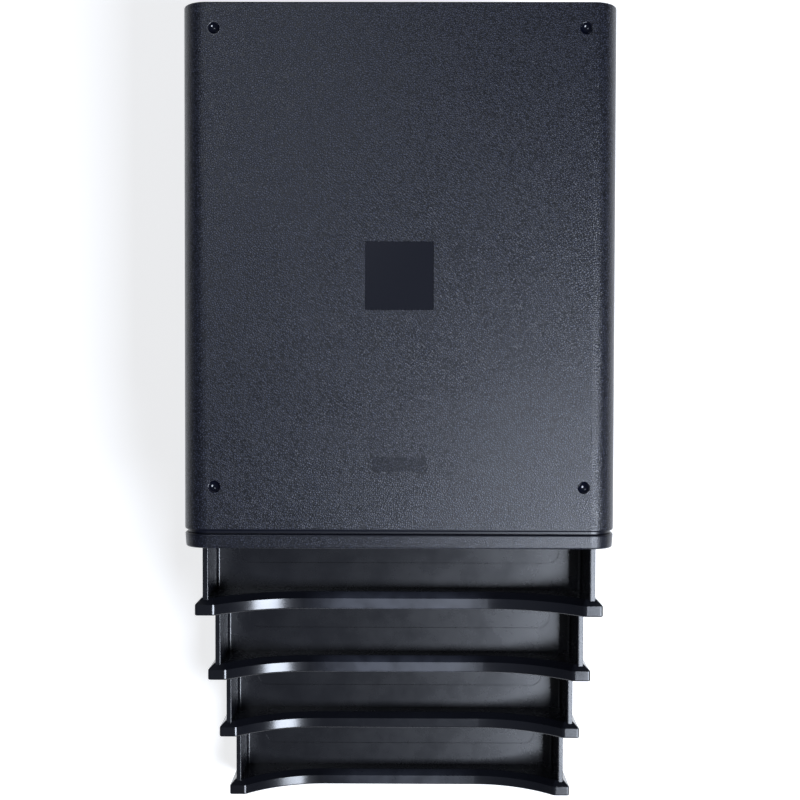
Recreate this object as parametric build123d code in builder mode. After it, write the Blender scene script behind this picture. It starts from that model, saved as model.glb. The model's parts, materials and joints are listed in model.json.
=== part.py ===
from build123d import *
import os
from math import asin, degrees

# Desktop cabinet with four open-topped letter drawers.
# Millimetres. The origin is on the desk, under the middle of the casing. The front is -Y, up is +Z.

os.makedirs("parts", exist_ok=True)

# ---------------- driving dimensions
case_width = 289.4
case_depth = 360.6
case_height = 219.0
wall = 2.4
top_corner_radius = 17.0
bottom_corner_radius = 4.0
foot_height = 2.0
edge_rounding = 1.0
slip = 0.15  # gap between two pieces that push together

bezel_depth = 9.7
bezel_taper = 4.0
bezel_rounding = 1.3
bezel_inset = 0.1
bezel_shoulder = 1.2
groove_width = 1.8  # at its floor, between the two rounded shoulders
groove_sunk = 2.0  # where the floor meets the casing
groove_fall = 6.0  # degrees that the floor falls towards the bezel
casing_shoulder = 1.5
tongue_depth = 11.3

badge_size = 45.6
badge_y = 0.8
badge_sunk = 0.6
badge_corner = 1.2
plate_size = (36.4, 10.0)
plate_y = -124.0
plate_sunk = 0.4
plate_corner = 2.0

socket_x = 122.4
socket_rear_y = 163.0
socket_front_y = -139.2
socket_radius = 3.9
socket_sunk = 2.1
socket_rim_rounding = 0.3

drawer_pitch = 51.7
first_ear_below_top = 12.0
pull_outs = (47.5, 105.0, 162.6, 226.1)  # how far each drawer stands out, top to bottom
full_travel = 250.0

front_width = 276.0
front_height = 45.5
front_depth = 11.5
front_rear_chamfer = 4.2
front_rounding = 1.0
ear_rounding = 1.8
ear_corner_rounding = 1.2
front_skin = 2.2
scoop_dip = 25.0
scoop_flat = 124.0
scoop_radius = 92.0
scoop_bend_radius = 5.0
front_rear_rounding = 0.5

tray_width = 266.0  # over the rims
tray_rim = (4.0, 2.0)  # width and depth of the rim's flange
tray_wall = 2.35
tray_floor = 2.0
tray_length = 350.0  # from the front's face to the tray's rear wall
tray_corner_radius = 6.0
tray_under_rounding = 1.6
tray_floor_rounding = 2.0
floor_field_margin = 18.0
floor_field_corner = 8.0
floor_field_sunk = 0.5
rim_below_ear = 3.0
rim_rounding = 0.5
rim_inner_rounding = 0.8
rim_slope = (2.6, 0.07)  # the rim's top falls outwards: how far across, how far down
floor_above_front = 2.0

running_gap = 0.3
runner_sheet = 2.2
runner_corner = 5.0  # follows the casing's rounded top corner
runner_ledge_edge = 126.0
runner_keeper_edge = 129.2
keeper_gap = 0.5
runner_lead_in = 1.0
runner_wall_gap = 0.1
runner_end_gap = 0.5
runner_back_gap = 1.0

# ---------------- worked-out places
half_width = case_width / 2
inner_x = half_width - wall
rear_y = case_depth / 2
front_y = -case_depth / 2
bezel_rear_y = front_y + bezel_depth
shell_front_y = bezel_rear_y + groove_width
tongue_rear_y = bezel_rear_y + tongue_depth
base_z = foot_height
base_top_z = base_z + wall
inner_top_z = case_height - wall
body_height = case_height - base_z
body_mid_z = base_z + body_height / 2

ear_tops = [case_height - first_ear_below_top - drawer_pitch * n for n in range(len(pull_outs))]
window_gap = 0.6
window_side_gap = 0.7
window_rounding = 0.7
window_corner = 1.2
window_width = front_width + 2 * window_side_gap
window_height = front_height + 2 * window_gap
window_top_z = ear_tops[0] + window_gap
window_bottom_z = ear_tops[-1] - front_height - window_gap
crossbar_depth = 12.0

socket_points = [(x, y) for x in (-socket_x, socket_x) for y in (socket_front_y, socket_rear_y)]
socket_ball = (socket_radius**2 + socket_sunk**2) / (2 * socket_sunk)
socket_boss_radius = 6.0
socket_boss_height = 1.8

return_edge_x = 114.0  # inner edge of the casing's bottom returns
panel_lip_x = 118.6
panel_lip = 0.9
panel_lip_strip = 8.0
panel_seat_gap = 0.05
back_inset = 1.2
back_field_margin = 30.0
back_field_corner = 8.0
back_field_sunk = 0.8
back_outer_y = rear_y - back_inset
back_inner_y = back_outer_y - wall

foot_radius = 3.8
foot_rounding = 1.2
foot_stem_radius = 2.0
foot_head_radius = 2.7
foot_head_height = 0.9
stem_gap = 0.05

runner_front_y = tongue_rear_y + runner_end_gap
runner_rear_y = back_inner_y - runner_back_gap
runner_length = runner_rear_y - runner_front_y
web_outer_x = inner_x - runner_wall_gap
web_inner_x = web_outer_x - runner_sheet
web_mid_y = (runner_front_y + runner_rear_y) / 2
peg_radius = 2.0
peg_length = 1.0
peg_gap = 0.1
peg_end_margin = 15.0
peg_ys = [runner_front_y + peg_end_margin, web_mid_y, runner_rear_y - peg_end_margin]
peg_below_ear = 24.0

lug_front = 340.0  # from the front's face to the stop lug's front
lug_depth = 6.0
lug_reach = 6.5
lug_root = 1.0
lug_ramp = 2.5
lug_height = 10.0
lug_below_ear = 12.0
stop_depth = 6.0
stop_height = 12.0
stop_ramp = 3.0
stop_gap = 0.3
stop_edge_x = tray_width / 2 + 1.0
stop_rear_y = front_y + lug_front - full_travel - stop_gap
bumper_x = 100.0
bumper_size = (3.0, 20.0)
bumper_below_ear = 22.0

tray_front_y = front_depth  # where the tub starts behind the front's face
plate_depth = 2.2  # the tray's front wall, inside the front moulding
plate_below_scoop = 5.6
plate_ledge = 1.0
front_peg_radius = 1.8
front_pilot_depth = 1.4
front_peg_reach = front_depth - front_skin - plate_depth + front_pilot_depth - 0.2
front_peg_xs = (-96.0, -32.0, 32.0, 96.0)
front_peg_below_ear = 36.0
rim_seat_gap = 0.05
rim_seat = front_rear_chamfer - rim_below_ear  # how far the rim runs onto the front's slope


def at_y(y):
    """An upright plane across the casing at y, seen from the front: X to the right, Z up."""
    return Plane.XZ.offset(-y)


def casing_outline(inset):
    """The casing's cross-section, drawn in by inset."""
    with BuildSketch() as outline:
        with Locations((0, body_mid_z)):
            Rectangle(case_width - 2 * inset, body_height - 2 * inset)
        fillet(outline.vertices().group_by(Axis.Y)[-1], top_corner_radius - inset)
        fillet(outline.vertices().group_by(Axis.Y)[0], bottom_corner_radius - inset)
    return outline.sketch


def scoop_outline(half, bottom, inset):
    """A drawer front's face below its ear tops (z = 0), with the top line drawn in by inset.

    The top line is flat in the middle, climbs on one arc at each side, and ends in two flat ears.
    """
    flat = scoop_flat / 2
    center_z = scoop_radius - scoop_dip
    radius = scoop_radius + inset
    climb = degrees(asin((center_z + inset) / radius))
    sweep = 90 - climb
    with BuildSketch() as outline:
        with BuildLine():
            right = CenterArc((flat, center_z), radius, -90, sweep)
            left = CenterArc((-flat, center_z), radius, -90 - sweep, sweep)
            Line(left @ 1, right @ 0)
            Polyline(right @ 1, (half, -inset), (half, bottom), (-half, bottom), (-half, -inset), left @ 0)
        make_face()
        bends = [v for v in outline.vertices() if abs(v.Y + inset) < 0.01 and abs(v.X) < half - 1]
        fillet(bends, scoop_bend_radius - inset / 2)
    return outline.sketch


# ---------------- casing: top, sides and bottom returns
with BuildPart() as casing_shell:
    with BuildSketch(at_y(rear_y)):
        add(casing_outline(0))
    extrude(amount=rear_y - shell_front_y)
    fillet(casing_shell.faces().sort_by(Axis.Y)[-1].edges(), edge_rounding)
    fillet(casing_shell.faces().sort_by(Axis.Y)[0].edges(), casing_shoulder)
    with BuildSketch(at_y(rear_y)):
        add(casing_outline(wall))
    extrude(amount=rear_y - shell_front_y, mode=Mode.SUBTRACT)
    # the open strip along the underside that the base panel closes
    with BuildSketch(Plane.XY.offset(base_z)):
        with Locations((0, (rear_y + shell_front_y) / 2)):
            Rectangle(2 * return_edge_x, rear_y - shell_front_y)
    extrude(amount=wall, mode=Mode.SUBTRACT)
    # stacking sockets: round dishes, each with a boss under the skin
    with BuildSketch(Plane.XY.offset(inner_top_z)):
        with Locations(*socket_points):
            Circle(socket_boss_radius)
    extrude(amount=-socket_boss_height)
    with Locations(*[(x, y, case_height - socket_sunk + socket_ball) for x, y in socket_points]):
        Sphere(socket_ball, mode=Mode.SUBTRACT)
    socket_rims = casing_shell.edges().filter_by(GeomType.CIRCLE).filter_by(
        lambda e: abs(e.radius - socket_radius) < 0.05 and abs(e.center().Z - case_height) < 0.01
    )
    fillet(socket_rims, socket_rim_rounding)
    # two bare sunk fields on the top
    with BuildSketch(Plane.XY.offset(case_height)):
        with Locations((0, badge_y)):
            RectangleRounded(badge_size, badge_size, badge_corner)
    extrude(amount=-badge_sunk, mode=Mode.SUBTRACT)
    with BuildSketch(Plane.XY.offset(case_height)):
        with Locations((0, plate_y)):
            RectangleRounded(*plate_size, plate_corner)
    extrude(amount=-plate_sunk, mode=Mode.SUBTRACT)
    # blind holes that locate the runners
    for side in (-1, 1):
        with BuildSketch(Plane.YZ.offset(side * inner_x)):
            with Locations(*[(y, ear - peg_below_ear) for ear in ear_tops for y in peg_ys]):
                Circle(peg_radius + peg_gap)
        extrude(amount=side * (peg_length + peg_gap), mode=Mode.SUBTRACT)
    # holes for the stems of the feet
    with BuildSketch(Plane.XY.offset(base_z)):
        with Locations(*socket_points):
            Circle(foot_stem_radius + stem_gap)
    extrude(amount=wall, mode=Mode.SUBTRACT)
casing_shell.part.label = "casing_shell"
export_step(casing_shell.part, "parts/casing_shell.step")

# ---------------- base panel, hung on the returns by its lips
base_front_y = tongue_rear_y + runner_end_gap
base_length = back_inner_y - slip - base_front_y
with BuildPart() as base_panel:
    with BuildSketch(Plane.XY.offset(base_z)):
        with Locations((0, base_front_y + base_length / 2)):
            Rectangle(2 * (return_edge_x - slip), base_length)
    extrude(amount=wall + panel_seat_gap)
    with BuildSketch(Plane.XY.offset(base_top_z + panel_seat_gap)):
        with Locations((0, base_front_y + base_length / 2)):
            Rectangle(2 * panel_lip_x, base_length)
            inner_width = 2 * (return_edge_x - panel_lip_strip)
            Rectangle(inner_width, base_length - 2 * panel_lip_strip, mode=Mode.SUBTRACT)
    extrude(amount=panel_lip)
base_panel.part.label = "base_panel"
export_step(base_panel.part, "parts/base_panel.step")

# ---------------- back panel with the drawers' bumpers
with BuildPart() as back_panel:
    with BuildSketch(at_y(back_outer_y)):
        add(casing_outline(wall + slip))
    extrude(amount=wall)
    with BuildSketch(at_y(back_outer_y)):
        with Locations((0, body_mid_z)):
            field = (case_width - 2 * back_field_margin, body_height - 2 * back_field_margin)
            RectangleRounded(*field, back_field_corner)
    extrude(amount=back_field_sunk, mode=Mode.SUBTRACT)
    bumper_depth = back_inner_y - (front_y + tray_length + running_gap)
    with BuildSketch(at_y(back_inner_y)):
        with Locations(*[(x, ear - bumper_below_ear) for ear in ear_tops for x in (-bumper_x, bumper_x)]):
            Rectangle(*bumper_size)
    extrude(amount=bumper_depth)
back_panel.part.label = "back_panel"
export_step(back_panel.part, "parts/back_panel.step")

# ---------------- front frame: bezel, tongue and three crossbars
with BuildPart() as front_frame:
    with BuildSketch(at_y(bezel_rear_y)):
        add(casing_outline(bezel_inset))
    extrude(amount=bezel_depth, taper=bezel_taper)
    fillet(front_frame.faces().sort_by(Axis.Y)[0].edges(), bezel_rounding)
    fillet(front_frame.faces().sort_by(Axis.Y)[-1].edges(), bezel_shoulder)
    # the floor of the groove between bezel and casing
    with BuildSketch(at_y(shell_front_y)):
        add(casing_outline(groove_sunk))
    extrude(amount=groove_width, taper=groove_fall)
    with BuildSketch(at_y(tongue_rear_y)):
        add(casing_outline(wall + slip))
    extrude(amount=tongue_depth)
    with BuildSketch(at_y(tongue_rear_y)):
        with Locations(*[(0, ear - front_height / 2) for ear in ear_tops]):
            RectangleRounded(window_width, window_height, window_corner)
    extrude(amount=tongue_depth + bezel_depth, mode=Mode.SUBTRACT)
    with BuildSketch(at_y(tongue_rear_y)):
        with Locations((0, (window_top_z + window_bottom_z) / 2)):
            Rectangle(window_width, window_top_z - window_bottom_z - 2 * window_corner)
    extrude(amount=tongue_rear_y - front_y - crossbar_depth, mode=Mode.SUBTRACT)
    mouth_edges = front_frame.faces().sort_by(Axis.Y)[0].inner_wires().edges()
    fillet(mouth_edges, window_rounding)
front_frame.part.label = "front_frame"
export_step(front_frame.part, "parts/front_frame.step")

# ---------------- feet: pads with a stem pushed through the returns
foot_names = ("foot_front_left", "foot_rear_left", "foot_front_right", "foot_rear_right")
for foot_name, (foot_x, foot_y) in zip(foot_names, socket_points):
    with BuildPart() as foot:
        with BuildSketch(Plane.XY):
            with Locations((foot_x, foot_y)):
                Circle(foot_radius)
        extrude(amount=foot_height)
        fillet(foot.faces().sort_by(Axis.Z)[0].edges(), foot_rounding)
        with BuildSketch(Plane.XY.offset(foot_height)):
            with Locations((foot_x, foot_y)):
                Circle(foot_stem_radius)
        extrude(amount=wall + stem_gap)
        with BuildSketch(Plane.XY.offset(base_top_z + stem_gap)):
            with Locations((foot_x, foot_y)):
                Circle(foot_head_radius)
        extrude(amount=foot_head_height)
    foot.part.label = foot_name
    export_step(foot.part, f"parts/{foot_name}.step")

# ---------------- runners: one channel each side of each drawer
for number, ear in enumerate(ear_tops, 1):
    tray_bottom = ear - front_height + floor_above_front
    ledge_top = tray_bottom - running_gap
    ledge_bottom = ledge_top - runner_sheet
    keeper_bottom = ear - rim_below_ear + keeper_gap
    keeper_top = keeper_bottom + runner_sheet
    for side, side_name in ((-1, "left"), (1, "right")):
        with BuildPart() as runner:
            with BuildSketch(at_y(runner_rear_y)) as profile:
                web_mid_x = side * (web_outer_x - runner_sheet / 2)
                with Locations((web_mid_x, (ledge_bottom + keeper_top) / 2)):
                    Rectangle(runner_sheet, keeper_top - ledge_bottom)
                ledge_mid_x = side * (web_outer_x + runner_ledge_edge) / 2
                with Locations((ledge_mid_x, ledge_top - runner_sheet / 2)):
                    Rectangle(web_outer_x - runner_ledge_edge, runner_sheet)
                keeper_mid_x = side * (web_outer_x + runner_keeper_edge) / 2
                with Locations((keeper_mid_x, keeper_top - runner_sheet / 2)):
                    Rectangle(web_outer_x - runner_keeper_edge, runner_sheet)
                outer_corner = profile.vertices().filter_by(
                    lambda v: abs(abs(v.X) - web_outer_x) < 0.01 and abs(v.Y - keeper_top) < 0.01
                )
                fillet(outer_corner, runner_corner)
                inner_corner = profile.vertices().filter_by(
                    lambda v: abs(abs(v.X) - web_inner_x) < 0.01 and abs(v.Y - keeper_bottom) < 0.01
                )
                fillet(inner_corner, runner_corner - runner_sheet)
            extrude(amount=runner_length)
            # lead-in at the front ends of the ledge and the keeper
            ends = runner.faces().sort_by(Axis.Y)[0].edges().filter_by(Axis.X)
            top_of_ledge = ends.filter_by(lambda e: abs(e.center().Z - ledge_top) < 0.01)
            under_keeper = ends.filter_by(lambda e: abs(e.center().Z - keeper_bottom) < 0.01)
            chamfer(top_of_ledge + under_keeper, runner_lead_in)
            # stop block that catches the tray's lug at full travel
            with BuildSketch(at_y(stop_rear_y)):
                with Locations((side * (web_inner_x + stop_edge_x) / 2, ear - lug_below_ear)):
                    Rectangle(web_inner_x - stop_edge_x, stop_height)
            extrude(amount=stop_depth)
            ramp = runner.edges().filter_by(Axis.Z).filter_by(
                lambda e: abs(e.center().Y - stop_rear_y + stop_depth) < 0.01
                and abs(abs(e.center().X) - stop_edge_x) < 0.01
            )
            chamfer(ramp, stop_ramp)
            # pegs into the casing wall
            with BuildSketch(Plane.YZ.offset(side * web_outer_x)):
                with Locations(*[(y, ear - peg_below_ear) for y in peg_ys]):
                    Circle(peg_radius)
            extrude(amount=side * peg_length)
        runner_name = f"runner_{number}_{side_name}"
        runner.part.label = runner_name
        export_step(runner.part, f"parts/{runner_name}.step")

# ---------------- drawers: a tray and the front moulding on it
plate_bottom = -front_height + floor_above_front
rim_height = front_height - floor_above_front - rim_below_ear
rim_overhang = tray_rim[0] - tray_wall
half_tray = tray_width / 2 - rim_overhang

for number, (ear, pull) in enumerate(zip(ear_tops, pull_outs), 1):
    face_y = front_y - pull
    tub_front = face_y + tray_front_y
    tub_rear = face_y + tray_length - rim_overhang
    tub_length = tub_rear - tub_front
    tub_mid = (tub_front + tub_rear) / 2
    tray_bottom = ear + plate_bottom

    with BuildPart() as tray:
        with BuildSketch(Plane.XY.offset(tray_bottom)) as tub:
            with Locations((0, tub_mid)):
                Rectangle(2 * half_tray, tub_length)
            fillet(tub.vertices().group_by(Axis.Y)[-1], tray_corner_radius)
        extrude(amount=rim_height)
        under_edges = tray.faces().sort_by(Axis.Z)[0].edges()
        fillet(under_edges.filter_by(lambda e: e.center().Y > tub_front + 1), tray_under_rounding)
        # flange along the top of the sides and the rear
        with BuildSketch(Plane.XY.offset(tray_bottom + rim_height)) as flange:
            with Locations((0, tub_mid + (rim_overhang - rim_seat) / 2)):
                Rectangle(tray_width, tub_length + rim_overhang + rim_seat)
            fillet(flange.vertices().group_by(Axis.Y)[-1], tray_corner_radius + rim_overhang)
        extrude(amount=-tray_rim[1])
        with BuildSketch(Plane.XY.offset(tray_bottom + tray_floor)) as hollow:
            with Locations((0, tub_mid - (tray_wall + rim_seat) / 2)):
                Rectangle(2 * (half_tray - tray_wall), tub_length - tray_wall + rim_seat)
            fillet(hollow.vertices().group_by(Axis.Y)[-1], tray_corner_radius - tray_wall)
        extrude(amount=rim_height - tray_floor, mode=Mode.SUBTRACT)
        floor_edges = tray.faces().filter_by(Plane.XY).filter_by(
            lambda f: abs(f.center().Z - tray_bottom - tray_floor) < 0.01
        ).edges()
        fillet(floor_edges.filter_by(lambda e: e.center().Y > tub_front + 1), tray_floor_rounding)
        rim_top = tray.faces().sort_by(Axis.Z)[-1]
        rim_outer = rim_top.outer_wire().edges().filter_by(
            lambda e: abs(e.center().X) > half_tray or e.center().Y > tub_rear
        )
        chamfer(rim_outer, *rim_slope, reference=rim_top)
        slope_edges = tray.edges().filter_by(
            lambda e: abs(e.center().Z - tray_bottom - rim_height + rim_slope[1]) < 0.01
            and e.center().Y > tub_front + 0.1
        )
        fillet(slope_edges, rim_rounding)
        rim_inner = tray.faces().sort_by(Axis.Z)[-1].edges().filter_by(
            lambda e: abs(e.center().X) < half_tray - tray_wall + 0.3
            and tub_front < e.center().Y < tub_rear - tray_wall + 0.3
        )
        fillet(rim_inner, rim_inner_rounding)
        # shallow sunk field in the floor
        with BuildSketch(Plane.XY.offset(tray_bottom + tray_floor)):
            with Locations((0, tub_mid)):
                field = (2 * (half_tray - floor_field_margin), tub_length - 2 * floor_field_margin)
                RectangleRounded(*field, floor_field_corner)
        extrude(amount=-floor_field_sunk, mode=Mode.SUBTRACT)
        # front wall with the scoop, inside the front moulding
        with BuildSketch(at_y(tub_front)):
            with Locations((0, ear)):
                add(scoop_outline(half_tray, plate_bottom, plate_below_scoop))
        extrude(amount=plate_depth)
        with BuildSketch(at_y(tub_front - plate_depth)):
            with Locations(*[(x, ear - front_peg_below_ear) for x in front_peg_xs]):
                Circle(front_peg_radius + slip)
        extrude(amount=-front_pilot_depth, mode=Mode.SUBTRACT)
        # stop lugs at the rear corners
        with BuildSketch(at_y(face_y + lug_front + lug_depth)):
            lug_mid_x = half_tray + (lug_reach - lug_root) / 2
            with Locations(*[(s * lug_mid_x, ear - lug_below_ear) for s in (-1, 1)]):
                Rectangle(lug_reach + lug_root, lug_height)
        extrude(amount=lug_depth)
        lug_rears = tray.edges().filter_by(Axis.Z).filter_by(
            lambda e: abs(abs(e.center().X) - half_tray - lug_reach) < 0.01
            and e.center().Y > face_y + lug_front + 1
        )
        chamfer(lug_rears, lug_ramp)
    tray.part.label = f"drawer_{number}_tray"
    export_step(tray.part, f"parts/drawer_{number}_tray.step")

    with BuildPart() as front:
        with BuildSketch(at_y(face_y + front_depth)):
            with Locations((0, ear)):
                add(scoop_outline(front_width / 2, -front_height, 0))
        extrude(amount=front_depth)
        rear_edges = front.faces().sort_by(Axis.Y)[-1].edges()
        chamfer(rear_edges.filter_by(lambda e: e.center().Z > ear - front_height + 1), front_rear_chamfer)
        ear_edges = front.edges().filter_by(Axis.Y).filter_by(
            lambda e: abs(e.center().Z - ear) < 0.01 and abs(e.center().X) > front_width / 2 - 0.01
        )
        fillet(ear_edges, ear_rounding)
        corner_edges = front.edges().filter_by(Axis.Z).filter_by(
            lambda e: abs(abs(e.center().X) - front_width / 2) < 0.01 and e.center().Y > face_y + 1
        )
        fillet(corner_edges, ear_corner_rounding)
        fillet(front.faces().sort_by(Axis.Y)[0].edges(), front_rounding)
        rear_edges = front.faces().sort_by(Axis.Y)[-1].edges()
        fillet(rear_edges.filter_by(lambda e: e.center().Z > ear - front_height + 1), front_rear_rounding)
        # hollow behind the face, then the wider seat that takes the tray's front wall
        with BuildSketch(at_y(tub_front)):
            with Locations((0, ear)):
                add(scoop_outline(half_tray + slip, plate_bottom - slip, plate_below_scoop - slip))
        extrude(amount=plate_depth + slip, mode=Mode.SUBTRACT)
        with BuildSketch(at_y(tub_front)):
            with Locations((0, ear)):
                core = (half_tray - plate_ledge, plate_bottom + plate_ledge)
                add(scoop_outline(*core, plate_below_scoop - slip))
        extrude(amount=front_depth - front_skin, mode=Mode.SUBTRACT)
        with BuildSketch(at_y(face_y + front_skin)):
            with Locations(*[(x, ear - front_peg_below_ear) for x in front_peg_xs]):
                Circle(front_peg_radius)
        extrude(amount=-front_peg_reach)
        # seats for the front ends of the tray's rims
        with BuildSketch(at_y(tub_front)):
            seat_x = (tray_width - tray_rim[0]) / 2
            with Locations(*[(s * seat_x, ear - rim_below_ear - tray_rim[1] / 2) for s in (-1, 1)]):
                Rectangle(tray_rim[0] + 2 * rim_seat_gap, tray_rim[1] + 2 * rim_seat_gap)
        extrude(amount=rim_seat + rim_seat_gap, mode=Mode.SUBTRACT)
    front.part.label = f"drawer_{number}_front"
    export_step(front.part, f"parts/drawer_{number}_front.step")
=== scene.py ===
import json
import math

import bpy
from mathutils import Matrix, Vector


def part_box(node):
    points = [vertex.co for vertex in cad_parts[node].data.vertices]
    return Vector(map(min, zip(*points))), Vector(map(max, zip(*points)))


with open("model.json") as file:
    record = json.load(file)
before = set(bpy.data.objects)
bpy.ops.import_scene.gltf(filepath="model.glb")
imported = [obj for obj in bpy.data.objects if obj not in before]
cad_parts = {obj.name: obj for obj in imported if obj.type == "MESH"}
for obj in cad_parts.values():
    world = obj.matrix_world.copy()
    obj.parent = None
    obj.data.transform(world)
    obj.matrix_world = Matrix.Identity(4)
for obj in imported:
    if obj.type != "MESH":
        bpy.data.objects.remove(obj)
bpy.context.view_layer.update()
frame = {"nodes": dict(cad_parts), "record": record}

# Desktop cabinet with four glossy letter drawers under a grained casing.
# Metres. The origin is under the middle of the cabinet, at the height of its feet, and the drawers
# come out towards -Y. A texture's scale is how many of its cells go to the metre.

# Camera
CAMERA_PLACE = (0.00494, -0.06367, 0.98185)
CAMERA_TURN = (-0.0231, 0.0057, 0.0025)
CAMERA_LENS = 51.92
SENSOR_WIDTH = 36.0
NEAREST_SEEN = 0.01

# Floor, world and lamps
FLOOR_HALF = 6.0
FLOOR_DROP = 0.0004  # how far the floor lies under the feet
FLOOR_FADE = (0.5, 1.3)  # radius where the painted pool of light round the cabinet starts to fade, and where it has faded
FLOOR_PAINT = (0.6, 0.45)  # how light its paint is at those two, lighter near the cabinet as a painted pool of light
FLOOR_GLOW = (0.72, 0.35)  # and how strong its own glow is, which only the camera and reflections see; it too is stronger near the cabinet, as part of the painted pool of light
WORLD_COLOUR = (0.88, 0.94, 1.06)
WORLD_BRIGHTNESS = (  # height of the direction, where 1 is overhead, and strength
    (0.08, 0.42),
    (0.25, 0.06),
    (0.35, 0.05),
    (0.9, 0.13),
)
LAMP_COLOUR = (0.9, 0.98, 1.13)
LAMPS = {  # place, size and brightness
    "main_softbox": ((0.83, -0.7, 1.7), (0.76, 0.84), 22.0),
    "left_fill": ((-0.5, 0.5, 1.7), (0.5, 0.5), 5.0),
}

# Casing and bezel
SOCKET_X = 0.1224
SOCKET_YS = (-0.1392, 0.163)
SOCKET_RADIUS = 0.0042  # takes in the socket's rim
SQUARE_FIELD = ((0.0, 0.0008), (0.0226, 0.0226))  # its middle, and half its size
OBLONG_FIELD = ((0.0, -0.124), (0.018, 0.0048))
GROOVE_MIDDLE = 0.0009  # how far it lies in front of the casing's front edge
GROOVE_HALF = 0.0027  # half the width of the groove with its rounded lips
BEZEL_HALF = 0.012  # half the width of a band that starts at the casing and takes in the bezel
BAND_FADE = 0.0005  # width of the soft edges of these two bands
FAINTER = 0.35  # how much of their grain the oblong field and the bezel have lost
PEBBLE_FLANK = 0.3  # how far inside its edge a pebble has its full height, in cells
RELIEF_LIGHT_SPAN = (0.2, 0.55)  # pebble times pore where the painted light of the relief is darkest, and lightest
GRAIN_MEAN = 1.5  # the height to which a smooth place evens the grain out
SMOOTH_COLOUR = (0.0018, 0.0026, 0.008)  # where there is no grain
SQUARE_ROUGHNESS = 0.27
LIP_ROUGHNESS = 0.34
SOCKET_ROUGHNESS = 0.14

# Runners, trays and drawer fronts
RUNNER_STRETCH = 0.02  # how wide a rubbing mark is for a length of 1
TRAY_ROUGHNESS = (0.24, 0.3)
FRONT_ROUGHNESS = (0.165, 0.22)
POLISH = 0.6  # specular level of the polished plastic
ORANGE_PEEL = 0.08  # height of its fine waves, for a height of 1 of the wide ones
FRONT_WEAR_AND_SHEEN = (1.0, 1.0, 0.05, 0.5)  # how worn each scooped edge is, and how much painted sheen it carries, top drawer first
SCOOP_DIP = 0.025  # from the tops of the ears down to the scoop's flat
WEAR_SHEEN_HALF = 0.066  # half the width of the worn stretch with its painted sheen
WEAR_SHEEN_EVENLY = 0.0363  # half the width of its middle, which is worn and painted alike
WEAR_SHEEN_DEPTH = 0.007  # how far down the face the wear and painted sheen have faded out
WEAR_SHEEN_TOP = 0.001  # how far down the face it stays full
WEAR_SHEEN_SMUDGE_SPAN = (0.35, 0.6)  # the noise between smudges, and where one is full
WEAR_SHEEN_SMUDGE_LEAST = 0.6  # how much of the wear and painted sheen is left between the smudges
RUBBED_ROUGHNESS = 0.46
# Painted sheen: the worn stretch's lighter colour stands in for the lamp's glow caught on it.
PAINTED_SHEEN_COLOUR = (0.034, 0.037, 0.05)

NOISE_SPAN = (0.3, 0.7)  # nearly all of a noise lies between these
MIX_SHARE, MIX_FIRST, MIX_SECOND, MIX_RESULT = 0, 6, 7, 2  # the sockets of a Mix node set to colours


# ---------------------------------------------------------------- node helpers
def new_material(name):
    """An empty material: its node tree, its Principled shader and its object coordinates."""
    material = bpy.data.materials.new(name)
    material.use_nodes = True
    tree = material.node_tree
    tree.nodes.clear()
    output = tree.nodes.new("ShaderNodeOutputMaterial")
    shader = tree.nodes.new("ShaderNodeBsdfPrincipled")
    tree.links.new(shader.outputs["BSDF"], output.inputs["Surface"])
    coordinates = tree.nodes.new("ShaderNodeTexCoord")
    return material, tree, shader, coordinates.outputs["Object"]


def noise(tree, place, scale, detail=2.0, roughness=0.5):
    """The value of a noise texture."""
    node = tree.nodes.new("ShaderNodeTexNoise")
    node.inputs["Scale"].default_value = scale
    node.inputs["Detail"].default_value = detail
    node.inputs["Roughness"].default_value = roughness
    tree.links.new(place, node.inputs["Vector"])
    return node.outputs["Fac"]


def cell_edges(tree, place, scale):
    """How far a place is from the nearest edge between the cells of a Voronoi texture."""
    node = tree.nodes.new("ShaderNodeTexVoronoi")
    node.feature = "DISTANCE_TO_EDGE"
    node.inputs["Scale"].default_value = scale
    tree.links.new(place, node.inputs["Vector"])
    return node.outputs["Distance"]


def spread(tree, value, low, high, to_low, to_high):
    """Value, taken from low..high to to_low..to_high, clamped."""
    node = tree.nodes.new("ShaderNodeMapRange")
    tree.links.new(value, node.inputs["Value"])
    node.inputs["From Min"].default_value = low
    node.inputs["From Max"].default_value = high
    node.inputs["To Min"].default_value = to_low
    node.inputs["To Max"].default_value = to_high
    return node.outputs["Result"]


def wander(tree, texture, low, high):
    """The value of a noise texture, taken to low..high."""
    return spread(tree, texture, *NOISE_SPAN, low, high)


def tint(tree, value, dark, light):
    """A colour between dark and light, by value from 0 to 1."""
    node = tree.nodes.new("ShaderNodeValToRGB")
    node.color_ramp.elements[0].color = (*dark, 1.0)
    node.color_ramp.elements[1].color = (*light, 1.0)
    tree.links.new(value, node.inputs["Fac"])
    return node.outputs["Color"]


def fill(tree, socket, value):
    """Gives a socket its value, which is a number or the socket of another node."""
    if isinstance(value, (int, float)):
        socket.default_value = value
    else:
        tree.links.new(value, socket)


def combine(tree, operation, a, b):
    """What a maths operation makes of a and b."""
    node = tree.nodes.new("ShaderNodeMath")
    node.operation = operation
    fill(tree, node.inputs[0], a)
    fill(tree, node.inputs[1], b)
    return node.outputs["Value"]


def axes(tree, place):
    """The X, Y and Z of a place, by their names."""
    split = tree.nodes.new("ShaderNodeSeparateXYZ")
    tree.links.new(place, split.inputs["Vector"])
    return split.outputs


def away(tree, place, axis, middle):
    """How far a place is from middle along an axis, to either side."""
    offset = combine(tree, "SUBTRACT", axes(tree, place)[axis], middle)
    return combine(tree, "ABSOLUTE", offset, 0.0)


def inside_field(tree, place, middle, half):
    """1 inside a rectangle seen from above, 0 outside."""
    inside = [
        combine(tree, "LESS_THAN", away(tree, place, axis, centre), reach)
        for axis, centre, reach in zip("XY", middle, half)
    ]
    return combine(tree, "MULTIPLY", *inside)


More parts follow.
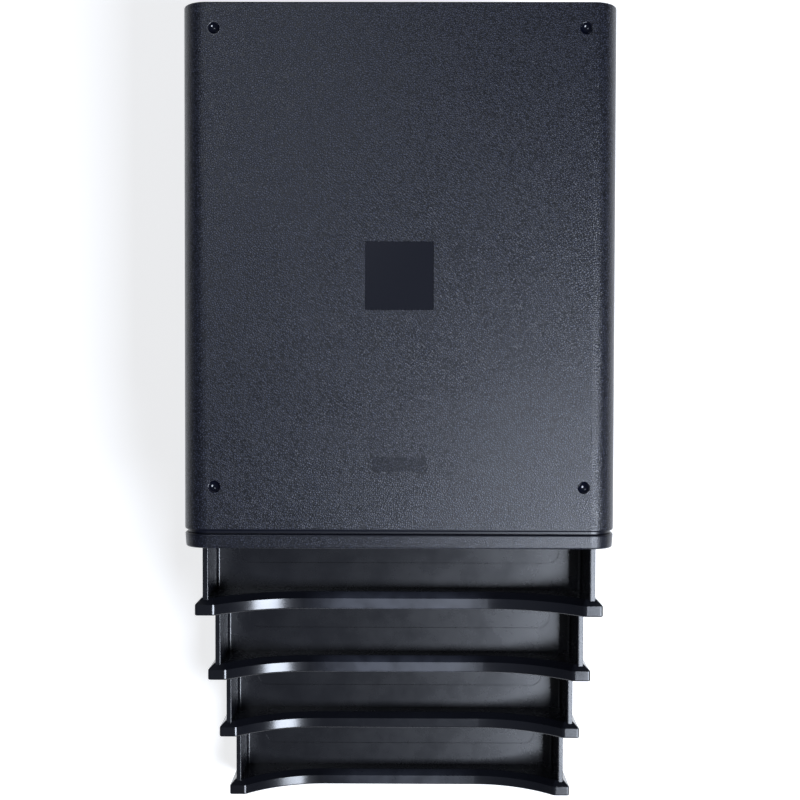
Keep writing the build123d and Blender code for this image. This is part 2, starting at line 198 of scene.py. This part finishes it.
def inside_sockets(tree, place):
    """1 inside the four round sockets seen from above, 0 outside."""
    x = combine(tree, "SUBTRACT", away(tree, place, "X", 0.0), SOCKET_X)
    pairs = []
    for socket_y in SOCKET_YS:
        y = away(tree, place, "Y", socket_y)
        squares = [combine(tree, "MULTIPLY", distance, distance) for distance in (x, y)]
        pairs.append(combine(tree, "LESS_THAN", combine(tree, "ADD", *squares), SOCKET_RADIUS**2))
    return combine(tree, "MAXIMUM", *pairs)


def along_line(tree, place, middle, half):
    """1 in a band across the cabinet, half to each side of y = middle, with soft edges; 0 outside."""
    return spread(tree, away(tree, place, "Y", middle), half - BAND_FADE, half, 1.0, 0.0)


def blend_value(tree, share, a, b):
    """a where share is 0, b where it is 1."""
    node = tree.nodes.new("ShaderNodeMix")
    tree.links.new(share, node.inputs["Factor"])
    fill(tree, node.inputs["A"], a)
    fill(tree, node.inputs["B"], b)
    return node.outputs["Result"]


def blend_colour(tree, share, colour, plain):
    """The colour of a socket where share is 0, a plain one where it is 1."""
    node = tree.nodes.new("ShaderNodeMix")
    node.data_type = "RGBA"
    tree.links.new(share, node.inputs[MIX_SHARE])
    tree.links.new(colour, node.inputs[MIX_FIRST])
    node.inputs[MIX_SECOND].default_value = (*plain, 1.0)
    return node.outputs[MIX_RESULT]


def bump(tree, shader, height, strength, depth):
    """Gives a shader the relief of height, where a height of 1 stands depth proud."""
    node = tree.nodes.new("ShaderNodeBump")
    node.inputs["Strength"].default_value = strength
    node.inputs["Distance"].default_value = depth
    tree.links.new(height, node.inputs["Height"])
    tree.links.new(node.outputs["Normal"], shader.inputs["Normal"])


def dress(tree, shader, colour, roughness):
    """Gives a shader its colour and its roughness."""
    tree.links.new(colour, shader.inputs["Base Color"])
    tree.links.new(roughness, shader.inputs["Roughness"])


# ---------------------------------------------------------------- finishes
def leather_grain(tree, place):
    """The casing's grain: its height, and a painted light from 0 to 1 that is lightest on the raised
    pebbles and darkest between them, as painted highlight and shade of the relief.
    """
    pebbles = spread(tree, cell_edges(tree, place, scale=760.0), 0.0, PEBBLE_FLANK, 0.0, 1.0)
    pores = noise(tree, place, scale=1100.0, roughness=0.6)
    swell = noise(tree, place, scale=300.0, detail=3.0, roughness=0.6)
    height = combine(tree, "ADD", pebbles, combine(tree, "ADD", pores, swell))
    relief_light = spread(tree, combine(tree, "MULTIPLY", pebbles, pores), *RELIEF_LIGHT_SPAN, 0.0, 1.0)
    return height, relief_light


def grained_casing_plastic():
    """Black moulded plastic with a fine leather grain, whose relief is also painted into the colour as
    highlight and shade.

    The sockets, the square field and the rounded lips of the groove are smooth. The oblong field and
    the bezel in front of the groove have a fainter grain.
    """
    material, tree, shader, place = new_material("casing_plastic")
    front_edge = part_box("casing_shell")[0][1]
    sockets = inside_sockets(tree, place)
    square = inside_field(tree, place, *SQUARE_FIELD)
    oblong = inside_field(tree, place, *OBLONG_FIELD)
    lips = along_line(tree, place, front_edge - GROOVE_MIDDLE, GROOVE_HALF)
    bezel = along_line(tree, place, front_edge - BEZEL_HALF, BEZEL_HALF)
    smooth = combine(tree, "MAXIMUM", combine(tree, "MAXIMUM", sockets, square), lips)
    faint = combine(tree, "MULTIPLY", combine(tree, "MAXIMUM", oblong, bezel), FAINTER)
    evened = combine(tree, "MAXIMUM", smooth, faint)
    height, relief_light = leather_grain(tree, place)
    bump(tree, shader, blend_value(tree, evened, height, GRAIN_MEAN), strength=0.55, depth=0.00014)
    # Painted highlight and shade: the grain's colour is lighter on the raised pebbles and darker between
    # them.
    relief_lit_colour = tint(tree, relief_light, dark=(0.0046, 0.0052, 0.0084), light=(0.039, 0.0435, 0.069))
    colour = blend_colour(tree, evened, relief_lit_colour, SMOOTH_COLOUR)
    roughness = wander(tree, noise(tree, place, scale=28.0, detail=3.0), low=0.31, high=0.36)
    zones = ((square, SQUARE_ROUGHNESS), (lips, LIP_ROUGHNESS), (sockets, SOCKET_ROUGHNESS))
    for zone, zone_roughness in zones:
        roughness = blend_value(tree, zone, roughness, zone_roughness)
    dress(tree, shader, colour, roughness)
    return material


def satin_panel_plastic():
    """Black moulded plastic, plain satin, for the base and back panels."""
    material, tree, shader, place = new_material("panel_plastic")
    bump(tree, shader, noise(tree, place, scale=1500.0), strength=0.25, depth=0.00006)
    cloud = noise(tree, place, scale=35.0, detail=4.0)
    colour = tint(tree, cloud, dark=(0.016, 0.017, 0.021), light=(0.030, 0.031, 0.037))
    dress(tree, shader, colour, wander(tree, cloud, low=0.38, high=0.48))
    return material


def smooth_runner_plastic():
    """Black moulded plastic, smooth, with faint rubbing along the way of the drawers."""
    material, tree, shader, place = new_material("runner_plastic")
    stretch = tree.nodes.new("ShaderNodeMapping")
    stretch.inputs["Scale"].default_value = (1.0, RUNNER_STRETCH, 1.0)
    tree.links.new(place, stretch.inputs["Vector"])
    rubbing = noise(tree, stretch.outputs["Vector"], scale=1800.0, detail=3.0)
    bump(tree, shader, rubbing, strength=0.12, depth=0.00004)
    colour = tint(tree, rubbing, dark=(0.014, 0.015, 0.018), light=(0.028, 0.029, 0.034))
    dress(tree, shader, colour, wander(tree, rubbing, low=0.26, high=0.4))
    return material


def wear_and_sheen(tree, place, edge_height, amount):
    """How dull hands have rubbed the plastic, and how much painted sheen lies there: amount along the
    middle of the scooped edge, 0 elsewhere.
    """
    middle = spread(tree, away(tree, place, "X", 0.0), WEAR_SHEEN_EVENLY, WEAR_SHEEN_HALF, 1.0, 0.0)
    fades_out, is_full = edge_height - WEAR_SHEEN_DEPTH, edge_height - WEAR_SHEEN_TOP
    near_edge = spread(tree, axes(tree, place)["Z"], fades_out, is_full, 0.0, 1.0)
    smudge_noise = noise(tree, place, scale=70.0, detail=4.0)
    wear_sheen_smudges = spread(tree, smudge_noise, *WEAR_SHEEN_SMUDGE_SPAN, WEAR_SHEEN_SMUDGE_LEAST * amount, amount)
    return combine(tree, "MULTIPLY", combine(tree, "MULTIPLY", middle, near_edge), wear_sheen_smudges)


def polished_plastic(name, roughness_span, worn_sheen_edge=None):
    """Black moulded plastic with a polished face, whose roughness wanders within its span.

    Worn_sheen_edge is the height of an edge that hands have dulled and that carries a painted sheen, and
    how far, from 0 to 1.
    """
    material, tree, shader, place = new_material(name)
    ripple = noise(tree, place, scale=30.0)
    orange_peel = combine(tree, "MULTIPLY", noise(tree, place, scale=260.0), ORANGE_PEEL)
    bump(tree, shader, combine(tree, "ADD", ripple, orange_peel), strength=0.1, depth=0.0004)
    cloud = noise(tree, place, scale=18.0, detail=4.0)
    colour = tint(tree, cloud, dark=(0.004, 0.0043, 0.0065), light=(0.008, 0.0086, 0.012))
    haze = noise(tree, place, scale=55.0, detail=5.0, roughness=0.6)
    roughness = wander(tree, haze, *roughness_span)
    if worn_sheen_edge:
        share = wear_and_sheen(tree, place, *worn_sheen_edge)
        # The worn stretch is rougher, which is wear, and lighter in colour, which is painted sheen.
        roughness = blend_value(tree, share, roughness, RUBBED_ROUGHNESS)
        colour = blend_colour(tree, share, colour, PAINTED_SHEEN_COLOUR)
    dress(tree, shader, colour, roughness)
    shader.inputs["Specular IOR Level"].default_value = POLISH
    return material


def glossy_drawer_plastic():
    """The trays' polished plastic."""
    return polished_plastic("drawer_plastic", TRAY_ROUGHNESS)


def glossy_front_plastic(number):
    """A drawer front's plastic, duller along the scooped edge where hands pull it, and painted lighter
    there as a sheen.
    """
    scooped_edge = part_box(f"drawer_{number}_front")[1][2] - SCOOP_DIP
    worn_sheen_edge = (scooped_edge, FRONT_WEAR_AND_SHEEN[number - 1])
    return polished_plastic(f"front_{number}_plastic", FRONT_ROUGHNESS, worn_sheen_edge)


def matte_foot_rubber():
    """Dull dark rubber for the feet."""
    material, tree, shader, place = new_material("foot_rubber")
    pores = noise(tree, place, scale=2200.0, detail=3.0)
    bump(tree, shader, pores, strength=0.35, depth=0.00008)
    colour = tint(tree, pores, dark=(0.018, 0.018, 0.018), light=(0.04, 0.04, 0.04))
    dress(tree, shader, colour, wander(tree, pores, low=0.72, high=0.86))
    return material


FINISHES = {
    "casing_plastic": grained_casing_plastic,
    "panel_plastic": satin_panel_plastic,
    "runner_plastic": smooth_runner_plastic,
    "drawer_plastic": glossy_drawer_plastic,
    "foot_rubber": matte_foot_rubber,
}


def finish_nodes():
    """Gives each drawer front its own finish, and each other node that of its slot in the record."""
    materials = {slot: make() for slot, make in FINISHES.items()}
    fronts = {f"drawer_{number}_front": glossy_front_plastic(number) for number in (1, 2, 3, 4)}
    for part in frame["record"]["subparts"]:
        node = frame["nodes"][part["node"]]
        node.data.materials.clear()
        node.data.materials.append(fronts.get(part["node"]) or materials[part["material_slot"]])


# ---------------------------------------------------------------- studio
def floor_paint():
    """White round the cabinet, with its soft shadow, and greyer far away, as a painted pool of light round
    the cabinet.
    """
    material = bpy.data.materials.new("studio_floor")
    material.use_nodes = True
    tree = material.node_tree
    tree.nodes.clear()
    output = tree.nodes.new("ShaderNodeOutputMaterial")
    coordinates = tree.nodes.new("ShaderNodeTexCoord")
    length = tree.nodes.new("ShaderNodeVectorMath")
    length.operation = "LENGTH"
    tree.links.new(coordinates.outputs["Object"], length.inputs[0])
    radius = length.outputs["Value"]
    paint = tree.nodes.new("ShaderNodeBsdfDiffuse")
    tree.links.new(spread(tree, radius, *FLOOR_FADE, *FLOOR_PAINT), paint.inputs["Color"])
    path = tree.nodes.new("ShaderNodeLightPath")
    seen = combine(tree, "MAXIMUM", path.outputs["Is Camera Ray"], path.outputs["Is Transmission Ray"])
    seen = combine(tree, "MAXIMUM", seen, path.outputs["Is Glossy Ray"])
    glow = tree.nodes.new("ShaderNodeEmission")
    glow_value = spread(tree, radius, *FLOOR_FADE, *FLOOR_GLOW)
    tree.links.new(combine(tree, "MULTIPLY", seen, glow_value), glow.inputs["Strength"])
    both = tree.nodes.new("ShaderNodeAddShader")
    tree.links.new(paint.outputs["BSDF"], both.inputs[0])
    tree.links.new(glow.outputs["Emission"], both.inputs[1])
    tree.links.new(both.outputs["Shader"], output.inputs["Surface"])
    return material


def studio_floor():
    """A wide level floor just under the feet."""
    mesh = bpy.data.meshes.new("studio_floor")
    signs = ((-1, -1), (1, -1), (1, 1), (-1, 1))
    corners = [(sx * FLOOR_HALF, sy * FLOOR_HALF, -FLOOR_DROP) for sx, sy in signs]
    mesh.from_pydata(corners, [], [(0, 1, 2, 3)])
    floor = bpy.data.objects.new("studio_floor", mesh)
    bpy.context.scene.collection.objects.link(floor)
    mesh.materials.append(floor_paint())


def softbox(name, place, size, brightness):
    """A level flat lamp of that size at place, facing down. Brightness is what a mirror would show."""
    lamp = bpy.data.lights.new(name, "AREA")
    lamp.shape = "RECTANGLE"
    lamp.size, lamp.size_y = size
    lamp.energy = brightness * math.pi * size[0] * size[1]
    lamp.color = LAMP_COLOUR
    holder = bpy.data.objects.new(name, lamp)
    bpy.context.scene.collection.objects.link(holder)
    holder.location = place


def studio_world():
    """Soft light from all round: a pale horizon, dim walls above it and a lighter ceiling."""
    world = bpy.data.worlds.new("studio")
    bpy.context.scene.world = world
    world.use_nodes = True
    tree = world.node_tree
    background = tree.nodes["Background"]
    background.inputs["Color"].default_value = (*WORLD_COLOUR, 1.0)
    direction = tree.nodes.new("ShaderNodeTexCoord")
    ramp = tree.nodes.new("ShaderNodeValToRGB")
    stops = ramp.color_ramp.elements
    while len(stops) < len(WORLD_BRIGHTNESS):
        stops.new(0.5)
    for stop, (height, strength) in zip(stops, WORLD_BRIGHTNESS):
        stop.position = height
        stop.color = (strength, strength, strength, 1.0)
    tree.links.new(axes(tree, direction.outputs["Generated"])["Z"], ramp.inputs["Fac"])
    tree.links.new(ramp.outputs["Color"], background.inputs["Strength"])


def studio_lights():
    """The large softbox in front at the right, and a weak one behind at the left."""
    for name, (place, size, brightness) in LAMPS.items():
        softbox(name, place, size, brightness)


def studio_camera():
    """The view from almost straight above."""
    data = bpy.data.cameras.new("camera")
    data.lens = CAMERA_LENS
    data.sensor_width = SENSOR_WIDTH
    data.clip_start = NEAREST_SEEN
    camera = bpy.data.objects.new("camera", data)
    bpy.context.scene.collection.objects.link(camera)
    camera.location = CAMERA_PLACE
    camera.rotation_euler = CAMERA_TURN
    bpy.context.scene.camera = camera


finish_nodes()
studio_floor()
studio_world()
studio_lights()
studio_camera()
bpy.context.scene.view_settings.view_transform = "Standard"
